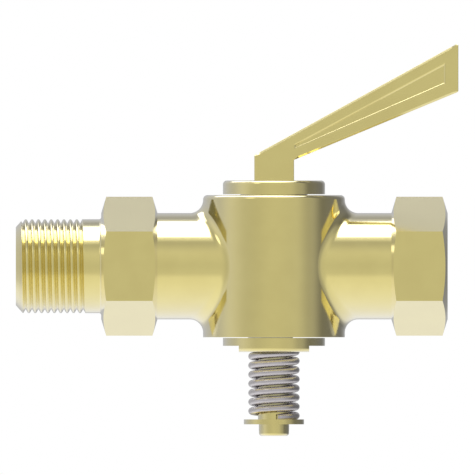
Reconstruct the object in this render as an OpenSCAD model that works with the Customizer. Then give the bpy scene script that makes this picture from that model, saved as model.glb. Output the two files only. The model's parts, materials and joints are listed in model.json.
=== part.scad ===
// Shut-off cock with a tapered plug, a lever and a spring-loaded retainer, for a 3/4 inch pipe.
// Millimetres. The origin is where the pipe axis (X) crosses the plug axis (Z).
// The male end points to -X, the female end to +X, and the lever stands on top.

/* [Barrel and necks] */
// Outside diameter of the barrel that holds the plug
barrel_d = 40.3; // [37:0.1:46]
// Height of the barrel
barrel_h = 40.4; // [36:0.1:48]
// Rounding of the barrel's top edge
barrel_edge_r = 1.2; // [0.2:0.1:2]
// Diameter of the two necks
neck_d = 30.2; // [28:0.1:32]
// Fillet where a neck runs into the barrel
neck_fillet_r = 3.8; // [1:0.1:5]
// From the plug axis to the hexagon on the male side
male_reach = 33.1; // [29:0.1:42]
// From the plug axis to the hexagon on the female side
female_reach = 33.35; // [32:0.05:42]

/* [Hexagons] */
// Size across the flats
hex_af = 34.2; // [33:0.1:40]
// Length of each hexagon along the pipe
hex_len = 16; // [10:0.5:22]
// Diameter of the flat ring that the end chamfers leave
hex_face_d = 30.1; // [28:0.1:32]
// Angle of the end chamfers, measured from the end face
hex_chamfer_angle = 17; // [10:1:30]

/* [Pipe ends] */
// Outside diameter of the male thread
thread_d = 26.67; // [24:0.01:28]
// Height of the thread's profile
thread_depth = 1.4; // [1:0.05:1.6]
// Length of the male thread
thread_len = 19; // [12:0.5:26]
// Plain stretch between the male thread and its hexagon
shank_len = 5.25; // [2:0.25:10]
// Fillet where the plain stretch meets the hexagon
shank_fillet_r = 0.6; // [0.2:0.1:1.2]
// Length of the male end's lead-in chamfer
lead_in_len = 2; // [1:0.1:3]
// Diameter of the male end's face
lead_in_d = 22.2; // [20:0.1:24]
// Depth of the female thread
socket_depth = 17; // [12:0.5:17]
// Diameter of the chamfer at the female end's mouth
socket_mouth_d = 27.4; // [26.7:0.1:29]

/* [Waterway] */
// Diameter of the drilled waterway
flow_d = 17.5; // [14:0.1:19]
// From the plug axis to the end of the drilled stretch
flow_stop = 14.5; // [13:0.1:18]
// Angle of the drill point at the end of the waterway
drill_angle = 118; // [90:1:140]
// Width of the upright port through the plug and its seat
port_w = 9.6; // [6:0.1:10.5]
// Height of the port
port_h = 17; // [12:0.1:22]
// Bevel round the male end's bore
bore_bevel = 0.6; // [0.2:0.1:1]

/* [Plug] */
// Plug diameter at the barrel's top face
plug_top_d = 19.1; // [18:0.1:22]
// Plug diameter at the barrel's bottom face
plug_small_d = 14.8; // [14:0.1:17]
// Radial clearance between the plug and its seat
seat_gap = 0.05; // [0.02:0.01:0.1]
// Diameter of the plug's head
head_d = 29; // [24:0.1:36]
// Thickness of the plug's head
head_h = 3.9; // [3.5:0.1:6]
// Rounding of the head's top edge
head_edge_r = 1.1; // [0.2:0.05:1.5]
// Gap between the head and the barrel
head_gap = 0.25; // [0.1:0.05:0.6]
// From the plug axis to the flat on the plug's small end
key_flat = 5.35; // [5:0.05:6.5]
// Length of the flatted end below the barrel
key_len = 2.4; // [1.8:0.1:2.6]
// Diameter of the stem inside the spring
stem_d = 9.1; // [8:0.1:9.6]

/* [Key washer] */
// Diameter of the key washer
key_washer_d = 29; // [26:0.1:36]
// Thickness of the key washer's rim
key_washer_h = 2.25; // [1.5:0.05:4]
// Gap between the key washer and the barrel
key_washer_gap = 0.18; // [0.1:0.02:0.6]
// Width of the bar under the key washer
bar_w = 20; // [17:0.1:26]
// Height of the bar under the key washer
bar_h = 1.75; // [1.5:0.05:3]
// Rounding of the bar's lower ends
bar_edge_r = 1.15; // [0.2:0.05:1.4]
// Floor left under the pocket that the plug's flatted end sits in
pocket_floor = 1.3; // [1:0.1:1.4]
// Clearance round the plug's flatted end in its pocket
key_gap = 0.08; // [0.02:0.01:0.1]
// Clearance round the stem in the key washer
stem_gap = 0.3; // [0.2:0.05:0.5]

/* [Spring] */
// Outside diameter of the spring
spring_d = 14.6; // [13.9:0.1:16]
// Diameter of the spring's wire
wire_d = 2.1; // [1.5:0.05:2.25]
// Fitted length of the spring
spring_len = 19.15; // [17:0.05:24]
// Turns of wire
spring_turns = 7.5; // [5:0.25:8]
// Where the wire starts at the lower end, counted from +X
wire_start = -81; // [-180:1:180]

/* [Retainer] */
// Diameter of the retaining washer
retainer_d = 17.1; // [15:0.1:22]
// Thickness of the retaining washer
retainer_h = 1.4; // [1:0.1:2.5]
// Thread diameter of the retaining screw
screw_d = 5; // [4:0.5:6]
// Length of the retaining screw under its head
screw_len = 12; // [8:1:16]
// Diameter of the screw's head
screw_head_d = 8.6; // [7.5:0.1:10]
// Height of the screw's head
screw_head_h = 3.3; // [2.5:0.1:4]
// Rounding of the screw head's outer edge
screw_edge_r = 0.85; // [0.2:0.05:1]
// Width of the screwdriver slot
slot_w = 1.2; // [0.8:0.1:1.6]
// Depth of the screwdriver slot
slot_depth = 1.5; // [1:0.1:2]
// Clearance between the screw and its tapped hole
screw_gap = 0.05; // [0.02:0.01:0.1]
// Clearance between the screw and the retaining washer
washer_gap = 0.15; // [0.1:0.05:0.3]

/* [Lever] */
// From the plug axis to the lever's tip
lever_reach = 52.4; // [40:0.1:80]
// Thickness of the lever
lever_t = 6; // [4:0.5:8]
// From the plug axis to the back of the lever's foot
foot_back = 5.6; // [4:0.05:8]
// From the plug axis to the front of the lever's foot
foot_front = 5.7; // [4:0.05:8]
// Height of the foot's back corner above the head
back_h = 7.2; // [6:0.05:12]
// Height of the crook under the lever above the head
crook_h = 5.85; // [3:0.05:6]
// Slope of the lever's top edge
top_angle = 28.8; // [25:0.1:40]
// Slope of the lever's underside
under_angle = 22.5; // [15:0.1:24]
// Rounding of the lever's edges
lever_edge_r = 0.45; // [0.2:0.05:1]
// Where the sunk panel starts, from the plug axis
panel_start = 5.9; // [4:0.1:12]
// Rim round the panel at its start
panel_rim = 2.8; // [2.4:0.05:3.1]
// Rim between the panel and the lever's tip
panel_tip_rim = 4; // [3:0.1:8]
// How much wider the rim gets along the panel
panel_rim_gain = 0.8; // [0:0.05:1]
// Depth of the panel
panel_depth = 0.8; // [0.3:0.1:1.2]
// How far the panel's walls lean in
panel_draft = 0.35; // [0.1:0.05:0.4]
// Length of the lever's tang in the plug's head
lever_tang_len = 2.8; // [2:0.1:3]
// Shoulder round the lever's tang
tang_shoulder = 0.6; // [0.4:0.05:1]
// Clearance round the lever's tang
tang_gap = 0.05; // [0.02:0.01:0.1]

/* [Hidden] */
$fn = 96;
// Overlap that keeps two faces from lying on each other in a cut
cut = 1;

barrel_r = barrel_d / 2;
barrel_top = barrel_h / 2;
barrel_bottom = -barrel_h / 2;
neck_r = neck_d / 2;
// The fillet has to end below the rounded top edge
fillet_r = min(neck_fillet_r, barrel_top - barrel_edge_r - neck_r - 0.1);
// The fillet's edges sink this far into the metal, so that they join it cleanly
fillet_sink = 0.03;
fillet_stations = 72;
fillet_steps = 6;
// How far the hidden root of the fillet lies under both surfaces
fillet_root = 1.5;

male_hex_face = -male_reach - hex_len;
male_end = male_hex_face - shank_len - thread_len;
female_end = female_reach + hex_len;
socket_d = thread_d - 2 * thread_depth;
socket_floor = female_end - socket_depth;

plug_slope = (plug_top_d - plug_small_d) / 2 / barrel_h;
head_bottom = barrel_top + head_gap;
head_top = head_bottom + head_h;
key_end = barrel_bottom - key_len;
washer_top = barrel_bottom - key_washer_gap;
washer_bottom = washer_top - key_washer_h;
spring_top = washer_bottom - bar_h;
spring_bottom = spring_top - spring_len;
retainer_bottom = spring_bottom - retainer_h;
wire_r = wire_d / 2;
coil_r = spring_d / 2 - wire_r;
wire_sides = 10;
wire_step = 18;

brass = [0.80, 0.72, 0.42];
steel = [0.75, 0.75, 0.77];

// Radius of the plug at height z
function plug_r(z) = plug_small_d / 2 + plug_slope * (z - barrel_bottom);

// Turns what stands on Z so that it lies along X
module along_x() rotate([90, 0, 90]) children();

// A bar of any round section that lies on the pipe axis from x1 to x2
module rod_x(r, x1, x2) translate([x1, 0, 0]) rotate([0, 90, 0]) cylinder(r = r, h = x2 - x1);

// Outline that is square at the bottom and rounded at its outer top corner
module rounded_half(r, h, edge) {
    square([r - edge, h]);
    square([r, h - edge]);
    translate([r - edge, h - edge]) circle(r = edge, $fn = 48);
}

// Upright oblong of the port, cut along the pipe axis from x1 to x2
module port(x1, x2) {
    translate([x1, 0, 0]) along_x() linear_extrude(height = x2 - x1) {
        square([port_w, port_h - port_w], center = true);
        for (side = [-1, 1]) translate([0, side * (port_h - port_w) / 2]) circle(d = port_w);
    }
}

// One hexagon with its corners up and down, chamfered at both ends
module hexagon(x1) {
    corner_r = hex_af / 2 / cos(30);
    chamfer = (corner_r - hex_face_d / 2) * tan(hex_chamfer_angle);
    translate([x1, 0, 0]) rotate([0, 90, 0]) intersection() {
        cylinder(r = corner_r, h = hex_len, $fn = 6);
        rotate_extrude() polygon([[0, 0], [hex_face_d / 2, 0], [corner_r, chamfer],
            [corner_r, hex_len - chamfer], [hex_face_d / 2, hex_len], [0, hex_len]]);
    }
}

// A point on the ball that rolls along the neck and the barrel.
// turn goes round the neck, and part from 0 on the neck to 1 on the barrel.
function ball_centre(turn) =
    let (y = (neck_r + fillet_r) * sin(turn))
    [sqrt(pow(barrel_r + fillet_r, 2) - y * y), y, (neck_r + fillet_r) * cos(turn)];
function ball_point(turn, part) =
    let (c = ball_centre(turn),
         to_neck = [0, -sin(turn), -cos(turn)],
         to_barrel = [-c.x, -c.y, 0] / (barrel_r + fillet_r),
         span = acos(to_neck * to_barrel),
         way = to_neck * sin((1 - part) * span) / sin(span) + to_barrel * sin(part * span) / sin(span))
    c + way * (fillet_r + fillet_sink);
function root_point(turn) =
    let (r = neck_r - fillet_root, y = r * sin(turn))
    [sqrt(barrel_r * barrel_r - y * y) - fillet_root, y, r * cos(turn)];

// Rolling-ball fillet round the neck on the +X side
module neck_fillet() {
    ring = fillet_steps + 2;
    points = [for (i = [0 : fillet_stations - 1]) let (turn = i * 360 / fillet_stations)
        each concat([for (k = [0 : fillet_steps]) ball_point(turn, k / fillet_steps)],
                    [root_point(turn)])];
    faces = [for (i = [0 : fillet_stations - 1], k = [0 : ring - 1])
        let (a = i * ring + k, b = i * ring + (k + 1) % ring,
             j = (i + 1) % fillet_stations, c = j * ring + (k + 1) % ring, d = j * ring + k)
        each [[a, b, c], [a, c, d]]];
    polyhedron(points = points, faces = faces, convexity = 6);
}

// The pressure body before anything is drilled
module body_shell() {
    translate([0, 0, barrel_bottom]) rotate_extrude() rounded_half(barrel_r, barrel_h, barrel_edge_r);
    rod_x(neck_r, -male_reach - cut, female_reach + cut);
    neck_fillet();
    mirror([1, 0, 0]) neck_fillet();
    hexagon(male_hex_face);
    hexagon(female_reach);
    male_stub();
}

// The plain turned male end, with its lead-in and the fillet at the hexagon
module male_stub() {
    r = thread_d / 2;
    len = male_hex_face - male_end;
    translate([male_end, 0, 0]) rotate([0, 90, 0]) rotate_extrude() difference() {
        polygon([[0, 0], [lead_in_d / 2, 0], [r, lead_in_len], [r, len - shank_fillet_r],
            [r + shank_fillet_r, len], [r + shank_fillet_r, len + cut], [0, len + cut]]);
        translate([r + shank_fillet_r, len - shank_fillet_r]) circle(r = shank_fillet_r, $fn = 48);
    }
}

// Drilled waterway from one end, with its drill point towards the plug
module waterway(length) {
    point = flow_d / 2 / tan(drill_angle / 2);
    rotate([0, 90, 0]) rotate_extrude() polygon([[0, flow_stop - point], [flow_d / 2, flow_stop],
        [flow_d / 2, length + cut], [0, length + cut]]);
}

module valve_body() {
    color(brass) difference() {
        body_shell();
        // Tapered seat
        translate([0, 0, barrel_bottom - cut]) cylinder(
            r1 = plug_r(barrel_bottom - cut) + seat_gap, r2 = plug_r(barrel_top + cut) + seat_gap,
            h = barrel_h + 2 * cut);
        port(-flow_stop, flow_stop);
        waterway(socket_floor);
        mirror([1, 0, 0]) waterway(-male_end);
        // Bevel at the male end's bore
        translate([male_end - cut, 0, 0]) rotate([0, 90, 0])
            cylinder(r1 = flow_d / 2 + bore_bevel + cut, r2 = flow_d / 2, h = bore_bevel + cut);
        // Female thread, at its inner diameter, and the chamfer at its mouth
        rod_x(socket_d / 2, socket_floor, female_end + cut);
        translate([female_end - (socket_mouth_d - socket_d) / 2, 0, 0]) rotate([0, 90, 0])
            cylinder(r1 = socket_d / 2, r2 = socket_mouth_d / 2 + cut,
                h = (socket_mouth_d - socket_d) / 2 + cut);
    }
}

// Section of the lever's tang, and of its pocket when it is made larger
module tang_section(extra) {
    translate([-foot_back + tang_shoulder - extra, -lever_t / 2 + tang_shoulder - extra])
        square([foot_back + foot_front - 2 * tang_shoulder + 2 * extra,
            lever_t - 2 * tang_shoulder + 2 * extra]);
}

// Section of the plug's flatted end, and of its pocket when it is made larger
module key_section(extra) {
    r = plug_small_d / 2 + extra;
    intersection() {
        circle(r = r);
        translate([-r, -r]) square([r + key_flat + extra, 2 * r]);
    }
}

module plug() {
    color(brass) difference() {
        union() {
            translate([0, 0, barrel_bottom]) cylinder(r1 = plug_r(barrel_bottom),
                r2 = plug_r(head_bottom), h = head_bottom - barrel_bottom);
            translate([0, 0, head_bottom]) rotate_extrude() rounded_half(head_d / 2, head_h, head_edge_r);
            translate([0, 0, key_end]) linear_extrude(height = key_len) key_section(0);
            translate([0, 0, spring_bottom]) cylinder(d = stem_d, h = key_end - spring_bottom + cut);
        }
        port(-plug_top_d, plug_top_d);
        translate([0, 0, head_top - lever_tang_len]) linear_extrude(height = lever_tang_len + cut)
            tang_section(tang_gap);
        // Tapped hole in the stem, with the point of its drill
        translate([0, 0, spring_bottom - cut]) cylinder(r = screw_d / 2 + screw_gap,
            h = screw_len - retainer_h + 2 * cut);
        translate([0, 0, spring_bottom + screw_len - retainer_h + cut]) cylinder(
            r1 = screw_d / 2 + screw_gap, r2 = 0, h = screw_d / 2 / tan(drill_angle / 2));
    }
}

// Height of a line that leaves the crook or the back corner at an angle
function under_z(x) = head_top + crook_h + (x - foot_front) * tan(under_angle);
function top_z(x) = head_top + back_h + (x + foot_back) * tan(top_angle);

// Side outline of the lever, from its foot to its tip
lever_outline = [[-foot_back, head_top - cut], [foot_front, head_top - cut],
    [foot_front, under_z(foot_front)], [lever_reach, under_z(lever_reach)],
    [lever_reach, top_z(lever_reach)], [-foot_back, top_z(-foot_back)]];

// Corners of the sunk panel, pulled in all round by some amount
function panel_corners(inset) =
    let (x1 = panel_start + inset, x2 = lever_reach - panel_tip_rim - inset,
         low = (panel_rim + inset) / cos(under_angle), high = (panel_rim + inset) / cos(top_angle))
    [[x1, under_z(x1) + low], [x2, under_z(x2) + low + panel_rim_gain],
     [x2, top_z(x2) - high - panel_rim_gain], [x1, top_z(x1) - high]];

// The sunk panel on the face that looks to -Y, with leaning walls
module panel() {
    mouth = panel_corners(-panel_draft);
    bed = panel_corners(panel_draft);
    y_out = -lever_t / 2 - panel_depth;
    y_bed = -lever_t / 2 + panel_depth;
    points = concat([for (p = mouth) [p.x, y_out, p.y]], [for (p = bed) [p.x, y_bed, p.y]]);
    faces = concat([[3, 2, 1, 0], [4, 5, 6, 7]],
        [for (i = [0 : 3]) let (j = (i + 1) % 4) each [[i, j + 4, i + 4], [i, j, j + 4]]]);
    polyhedron(points = points, faces = faces, convexity = 2);
}

module lever_handle() {
    color(brass) {
        difference() {
            minkowski() {
                rotate([90, 0, 0]) linear_extrude(height = lever_t - 2 * lever_edge_r, center = true)
                    offset(delta = -lever_edge_r) polygon(lever_outline);
                sphere(r = lever_edge_r, $fn = 16);
            }
            // Flat sole on the plug's head
            translate([-lever_reach, -lever_t, head_top - 2 * cut])
                cube([2 * lever_reach, 2 * lever_t, 2 * cut]);
            panel();
            mirror([0, 1, 0]) panel();
        }
        translate([0, 0, head_top - lever_tang_len]) linear_extrude(height = lever_tang_len)
            tang_section(0);
    }
}

module key_washer() {
    pocket_bottom = spring_top + pocket_floor;
    color(brass) difference() {
        union() {
            translate([0, 0, washer_bottom]) cylinder(d = key_washer_d, h = key_washer_h);
            // The bar is what two flats leave of a turned step with a rounded edge
            intersection() {
                translate([0, 0, washer_bottom]) mirror([0, 0, 1]) rotate_extrude()
                    rounded_half(key_washer_d / 2, bar_h, bar_edge_r);
                translate([-bar_w / 2, -key_washer_d, spring_top - cut])
                    cube([bar_w, 2 * key_washer_d, bar_h + 2 * cut]);
            }
        }
        translate([0, 0, pocket_bottom]) linear_extrude(height = washer_top - pocket_bottom + cut)
            key_section(key_gap);
        translate([0, 0, spring_top - cut])
            cylinder(r = stem_d / 2 + stem_gap, h = washer_top - spring_top + 2 * cut);
    }
}

// Compression spring, wound right-handed, with both ends ground flat
module spring() {
    sweep = 360 * spring_turns;
    rings = ceil(sweep / wire_step);
    // The wire's centre starts inside the lower ground face and runs out past the upper one
    z_start = spring_bottom + wire_r * 0.45;
    z_finish = spring_top + wire_r;
    points = [for (i = [0 : rings], k = [0 : wire_sides - 1])
        let (t = i / rings, turn = wire_start + sweep * t, side = 360 * k / wire_sides,
             r = coil_r + wire_r * cos(side), z = z_start + (z_finish - z_start) * t)
        [r * cos(turn), r * sin(turn), z + wire_r * sin(side)]];
    walls = [for (i = [0 : rings - 1], k = [0 : wire_sides - 1])
        let (a = i * wire_sides + k, b = i * wire_sides + (k + 1) % wire_sides,
             c = b + wire_sides, d = a + wire_sides) each [[a, b, c], [a, c, d]]];
    ends = [[for (k = [wire_sides - 1 : -1 : 0]) k], [for (k = [0 : wire_sides - 1]) rings * wire_sides + k]];
    color(steel) intersection() {
        polyhedron(points = points, faces = concat(walls, ends), convexity = 20);
        translate([0, 0, spring_bottom]) cylinder(d = spring_d + 2 * cut, h = spring_len);
    }
}

module retainer_washer() {
    color(brass) translate([0, 0, retainer_bottom]) difference() {
        cylinder(d = retainer_d, h = retainer_h);
        translate([0, 0, -cut]) cylinder(r = screw_d / 2 + washer_gap, h = retainer_h + 2 * cut);
    }
}

// Slotted cheese-head screw that holds the retaining washer on the stem
module retaining_screw() {
    color(brass) difference() {
        union() {
            translate([0, 0, retainer_bottom]) mirror([0, 0, 1]) rotate_extrude()
                rounded_half(screw_head_d / 2, screw_head_h, screw_edge_r);
            translate([0, 0, retainer_bottom]) cylinder(d = screw_d, h = screw_len);
        }
        translate([-screw_head_d, -slot_w / 2, retainer_bottom - screw_head_h - cut])
            cube([2 * screw_head_d, slot_w, slot_depth + cut]);
    }
}

valve_body();
plug();
lever_handle();
key_washer();
spring();
retainer_washer();
retaining_screw();
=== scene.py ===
import json
import math

import bmesh
import bpy
import numpy as np
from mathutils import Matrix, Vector
from mathutils.geometry import tessellate_polygon

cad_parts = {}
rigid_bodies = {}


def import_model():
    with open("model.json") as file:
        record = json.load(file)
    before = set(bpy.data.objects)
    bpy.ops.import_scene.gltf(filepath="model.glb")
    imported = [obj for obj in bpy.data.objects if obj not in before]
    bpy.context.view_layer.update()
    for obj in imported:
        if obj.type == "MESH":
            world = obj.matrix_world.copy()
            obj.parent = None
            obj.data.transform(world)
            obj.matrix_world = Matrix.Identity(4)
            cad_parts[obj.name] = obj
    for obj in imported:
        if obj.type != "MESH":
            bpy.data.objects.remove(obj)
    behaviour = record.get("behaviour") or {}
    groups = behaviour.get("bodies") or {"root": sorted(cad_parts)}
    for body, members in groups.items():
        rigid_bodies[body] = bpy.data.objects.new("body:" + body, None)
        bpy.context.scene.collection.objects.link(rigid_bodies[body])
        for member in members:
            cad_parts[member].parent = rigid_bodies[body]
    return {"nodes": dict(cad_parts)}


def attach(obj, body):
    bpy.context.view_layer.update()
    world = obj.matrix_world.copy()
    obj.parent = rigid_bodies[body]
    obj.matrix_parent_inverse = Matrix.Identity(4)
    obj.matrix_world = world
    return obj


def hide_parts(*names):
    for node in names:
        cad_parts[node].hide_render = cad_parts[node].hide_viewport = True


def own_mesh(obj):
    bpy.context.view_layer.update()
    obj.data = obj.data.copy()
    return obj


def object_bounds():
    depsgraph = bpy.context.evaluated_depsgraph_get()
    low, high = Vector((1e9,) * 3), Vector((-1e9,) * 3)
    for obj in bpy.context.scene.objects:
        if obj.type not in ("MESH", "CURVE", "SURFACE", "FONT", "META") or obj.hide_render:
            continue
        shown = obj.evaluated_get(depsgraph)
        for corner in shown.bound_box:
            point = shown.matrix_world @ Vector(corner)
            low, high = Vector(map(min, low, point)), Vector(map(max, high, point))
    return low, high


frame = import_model()
cad_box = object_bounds()

# Lengths are in millimetres up to the point where a mesh is made, and in metres in Blender
MM = 0.001

# The photograph: its width, its scale, and the pixel where the pipe axis crosses the plug axis
PHOTO_PIXELS = 475
PIXEL_MM = 0.28415
AXIS_PIXEL = (273.48, 265.7)

# Sizes of the CAD model that the detailed pieces repeat. BARREL_R and LEVER_REACH are up to
# 0.013 smaller than there, so that the pieces stay inside its box
BARREL_R = 20.137
BARREL_TOP = 20.2
BARREL_EDGE_R = 1.2
NECK_R = 15.1
NECK_FILLET_R = 3.8
MALE_REACH = 33.1
FEMALE_REACH = 33.35
HEX_FLAT = 17.1
HEX_LEN = 16.0
HEX_FACE_R = 15.05
HEX_CHAMFER = math.tan(math.radians(17))
THREAD_R = 13.335
THREAD_LEN = 19.0
SHANK_LEN = 5.25
SHANK_FILLET_R = 0.6
LEAD_IN_LEN = 2.0
LEAD_IN_R = 11.1
SOCKET_R = 11.935
SOCKET_DEPTH = 17.0
SOCKET_MOUTH_R = 13.7
FLOW_R = 8.75
FLOW_STOP = 14.5
FLOW_POINT = FLOW_R / math.tan(math.radians(59))
# Plain stretches beside the threads: past the male one, and at the floor of the socket
THREAD_SPARE = 1.0
SOCKET_PLAIN = 0.5
# How far the socket's cutter and the others reach past what they cut
SOCKET_PAST = 0.4
CUT_PAST = 1.0
BORE_BEVEL = 0.6
PORT_W = 9.6
PORT_H = 17.0
PLUG_TOP_R = 9.55
PLUG_SMALL_R = 7.4
SEAT_GAP = 0.05
MALE_HEX_FACE = -MALE_REACH - HEX_LEN
MALE_END = MALE_HEX_FACE - SHANK_LEN - THREAD_LEN
FEMALE_END = FEMALE_REACH + HEX_LEN

HEAD_TOP = 24.35
SPRING_TOP = -24.38
SPRING_LEN = 19.15
COIL_R = 6.25
WIRE_R = 1.05
SPRING_TURNS = 7.5
WIRE_START = -81.0
# Height of the wire's middle at both ends, before they are ground flat
GROUND_SHARE = 0.45
WIRE_DROP = 0.25
WIRE_LOW = SPRING_TOP - SPRING_LEN + WIRE_R * GROUND_SHARE
WIRE_HIGH = SPRING_TOP + WIRE_R - WIRE_DROP

LEVER_REACH = 52.39
LEVER_HALF = 3.0
FOOT_BACK = 5.6
FOOT_FRONT = 5.7
BACK_H = 7.2
CROOK_H = 5.85
TOP_SLOPE = math.tan(math.radians(28.8))
UNDER_SLOPE = math.tan(math.radians(22.5))
LEVER_LEAN = math.radians(25.6)
TANG_LEN = 2.8
TANG_SHOULDER = 0.6

# Detail that only the visual pieces have
BREAK = 0.06
# The lever's long edges are bevelled, its ends stay crisp
LEVER_BEVEL = 0.62
BEVEL_STEEPNESS = 0.79
BEVEL_SOFT = 0.25
LEVER_CORNER_R = 0.45
FOOT_BACK_BEVEL = 0.3
CRISP_BEVEL = 0.12
TAPER_LEN = 1.6
TAPER_STEPS = 5
# Its sunk panel: where its soft edge starts, and how the wall goes down from there
PANEL_START = 5.5
PANEL_TIP_RIM = 3.4
PANEL_TOP_RIM = 2.56
PANEL_TOP_GAIN = 0.48
PANEL_LOW_RIM = 2.5
PANEL_LOW_GAIN = 0.83
PANEL_MOUTH_R = 0.9
PANEL_BED_R = 0.15
PANEL_SLOPE = math.radians(45)
# Both threads: 14 to the inch, and the roundings of their crests and roots
PITCH = 25.4 / 14
CREST_R = 0.42
ROOT_R = 0.03
# The first full crest at the top of the male thread, and where its last groove has run out
FIRST_CREST_X = -70.55
GROOVE_TURNS = 8.75
RUN_OUT_TURNS = 0.25
# A crest of the female thread
SOCKET_CREST_X = 34.6

# Steps of the detailed meshes
STATIONS = 144
FLANK_STEPS = 4
FILLET_STEPS = 12
EDGE_STEPS = 6
BARREL_STEP = math.radians(2.5)
PANEL_MOUTH_STEPS = 6
PANEL_BED_STEPS = 4
WIRE_SIDES = 28
WIRE_STEPS = 110

# Points nearer than this in metres count as one
SAME_SPOT = 2e-8

# Kinds of surface, which decide how a face is shaded where it has no normals of its own
FLAT, ABOUT_X, ABOUT_Z, SOFT = range(4)


# Mesh helpers


def columns(*parts):
    """Points from their coordinates, where a single number stands for all points."""
    return np.stack(np.broadcast_arrays(*parts), axis=-1).astype(float)


def full_turn(count):
    """Angles of even steps round a full turn."""
    return np.arange(count) * 2 * math.pi / count


class Skin:
    """Faces made from rows of points, each with its kind of surface and perhaps its own normals."""

    def __init__(self):
        self.points = []
        self.faces = []
        self.kinds = []
        self.aims = []

    def row(self, points):
        start = len(self.points)
        self.points.extend(points)
        return np.arange(start, start + len(points))

    def face(self, corners, kind, aims=None):
        self.faces.append(tuple(corners))
        self.kinds.append(int(kind))
        self.aims.extend(np.zeros((len(corners), 3)) if aims is None else aims)

    def quads(self, first, second, kind, aims=None):
        """Faces between two rows of points, with a kind for all or one for each."""
        kind = np.broadcast_to(kind, len(first) - 1)
        for k in range(len(first) - 1):
            own = None
            if aims is not None:
                own = [aims[0][k], aims[0][k + 1], aims[1][k + 1], aims[1][k]]
            self.face((first[k], first[k + 1], second[k + 1], second[k]), kind[k], own)

    def loft(self, rings, kinds, aims=None, closed=True):
        """Faces between rings of points, one kind or pair of normal rings for each gap."""
        def lap(row):
            return np.concatenate([row, row[:1]]) if closed else np.asarray(row)

        rows = [lap(self.row(ring)) for ring in rings]
        for k, (first, second) in enumerate(zip(rows, rows[1:])):
            kind = kinds if np.isscalar(kinds) else kinds[k]
            own = None
            if aims is not None and aims[k] is not None and aims[k + 1] is not None:
                own = (lap(aims[k]), lap(aims[k + 1]))
            self.quads(first, second, kind, own)

    def plate(self, outlines):
        """A flat face with holes, from its outer outline and the outlines of the holes."""
        corners = np.concatenate([self.row(outline) for outline in outlines])
        shapes = [[Vector(point) for point in outline] for outline in outlines]
        for triangle in tessellate_polygon(shapes):
            self.face(corners[list(triangle)], FLAT)

    def mesh(self, name):
        """The finished mesh, with doubled points merged and all faces looking out."""
        mesh = bpy.data.meshes.new(name)
        mesh.from_pydata(np.array(self.points) * MM, [], self.faces)
        for _ in range(SOFT + 1):
            mesh.materials.append(None)
        mesh.polygons.foreach_set("material_index", self.kinds)
        aims = mesh.attributes.new("aim", "FLOAT_VECTOR", "CORNER")
        aims.data.foreach_set("vector", np.array(self.aims).ravel())
        shape = bmesh.new()
        shape.from_mesh(mesh)
        bmesh.ops.remove_doubles(shape, verts=shape.verts, dist=SAME_SPOT)
        bmesh.ops.dissolve_degenerate(shape, edges=shape.edges, dist=SAME_SPOT)
        bmesh.ops.recalc_face_normals(shape, faces=shape.faces)
        shape.to_mesh(mesh)
        shape.free()
        return mesh


def place(name, mesh):
    thing = bpy.data.objects.new(name, mesh)
    bpy.context.scene.collection.objects.link(thing)
    return thing


def carve(mesh, cutters):
    """The mesh with the cutters taken out of it, each face keeping its kind of surface."""
    stock = place("stock", mesh)
    tools = bpy.data.collections.new("tools")
    for k, cutter in enumerate(cutters):
        tools.objects.link(bpy.data.objects.new(f"tool_{k}", cutter))
    bpy.context.scene.collection.children.link(tools)
    cut = stock.modifiers.new("cut", "BOOLEAN")
    cut.operation = "DIFFERENCE"
    cut.solver = "EXACT"
    cut.operand_type = "COLLECTION"
    cut.collection = tools
    graph = bpy.context.evaluated_depsgraph_get()
    result = bpy.data.meshes.new_from_object(stock.evaluated_get(graph))
    for thing in list(tools.objects):
        bpy.data.objects.remove(thing)
    bpy.data.collections.remove(tools)
    bpy.data.objects.remove(stock)
    return result


def unit(vectors):
    length = np.linalg.norm(vectors, axis=-1, keepdims=True)
    return vectors / np.maximum(length, 1e-12)


def about(points, face_normals, axis):
    """Normals on straight-sided turned surfaces round an axis: cylinders, cones and end faces."""
    out = points.copy()
    out[:, axis] = 0
    along = np.clip(face_normals[:, axis], -1, 1)
    normals = unit(out) * np.sqrt(1 - along ** 2)[:, None]
    normals[:, axis] = along
    outward = np.sum(face_normals * out, axis=1) >= 0
    normals[~outward] *= -1
    normals[~outward, axis] = along[~outward]
    return normals


def ball_centre(turn):
    """Centre of the ball that rolls in the corner between the neck and the barrel."""
    y = (NECK_R + NECK_FILLET_R) * np.sin(turn)
    z = (NECK_R + NECK_FILLET_R) * np.cos(turn)
    return columns(np.sqrt((BARREL_R + NECK_FILLET_R) ** 2 - y * y), y, z)


def read(items, name, kind, size):
    values = np.empty(len(items) * size, kind)
    items.foreach_get(name, values)
    return values if size == 1 else values.reshape(-1, size)


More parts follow.
